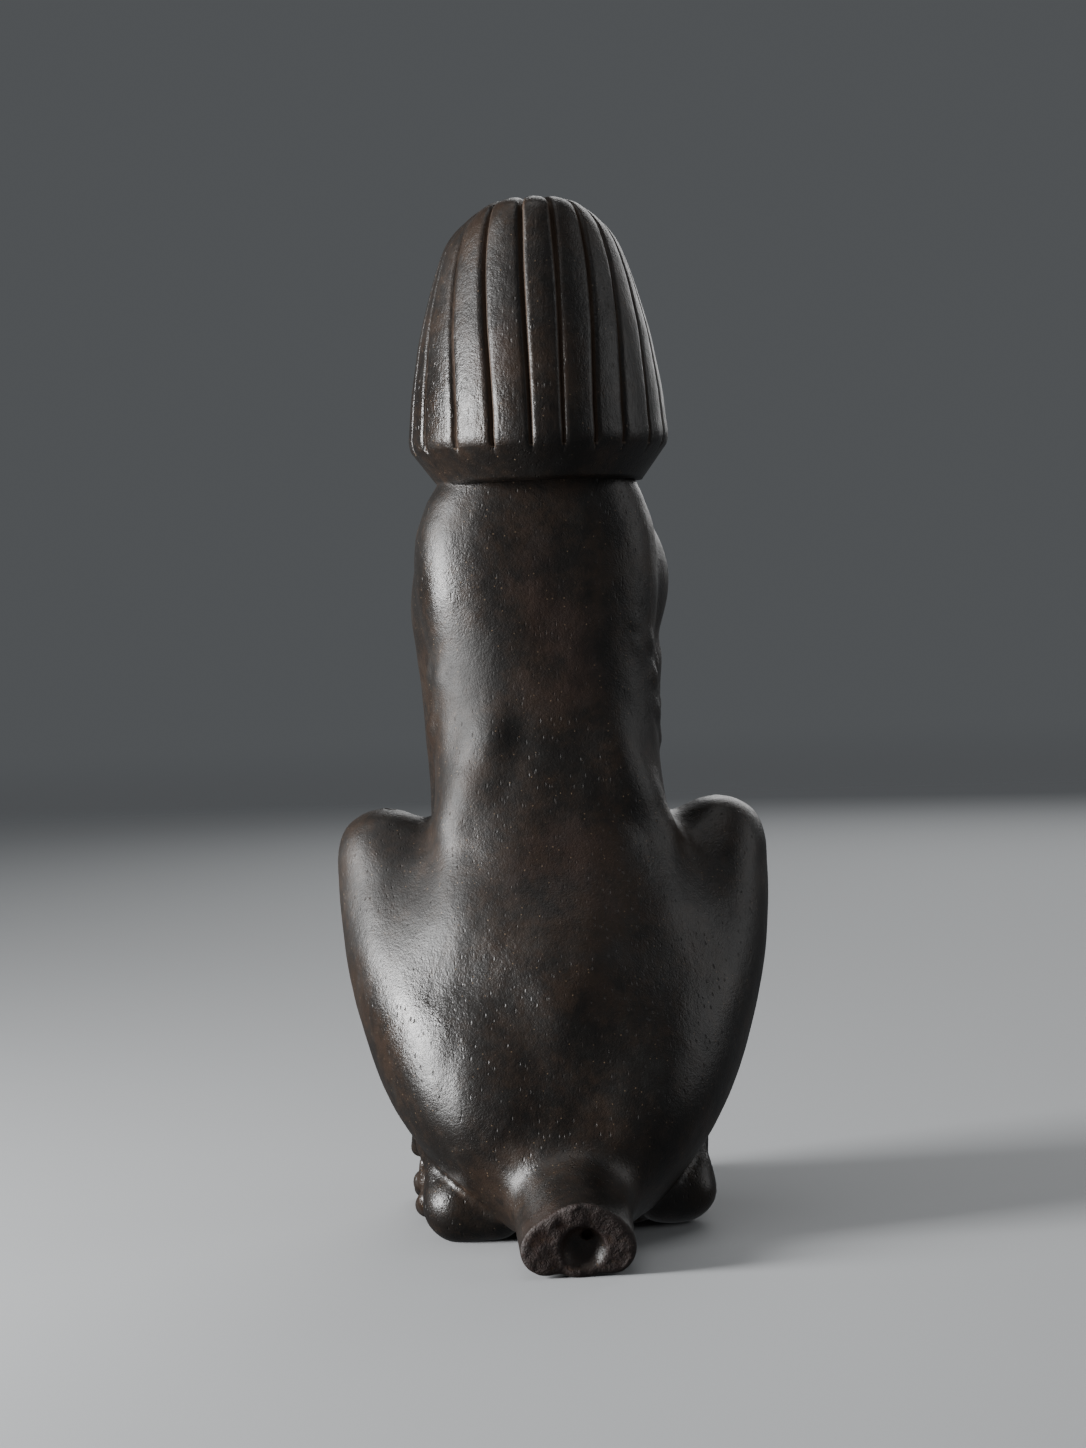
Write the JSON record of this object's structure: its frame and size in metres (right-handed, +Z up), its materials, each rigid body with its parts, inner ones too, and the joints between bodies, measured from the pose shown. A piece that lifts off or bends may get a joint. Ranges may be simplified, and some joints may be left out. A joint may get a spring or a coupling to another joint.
{
  "type": "sphinx statue",
  "caption": "Small carved stone sphinx sitting upright on its haunches, with a ribbed bowl wig, lion's paws and a broken tail.",
  "frame": {"origin": "centre of the flat underside, on the ground, half way between the paws and the tail's end", "axes": "+Z up; the figure looks along -Y, its tail points along +Y, and its left side is +X"},
  "size_m": [0.0873, 0.1137, 0.205],
  "materials": {
    "stone": "dark brown-black carved stone, hand-polished, pitted and worn, with brown dirt in the grooves"
  },
  "bodies": {
    "root": {"sphinx": "stone"}
  },
  "joints": []
}
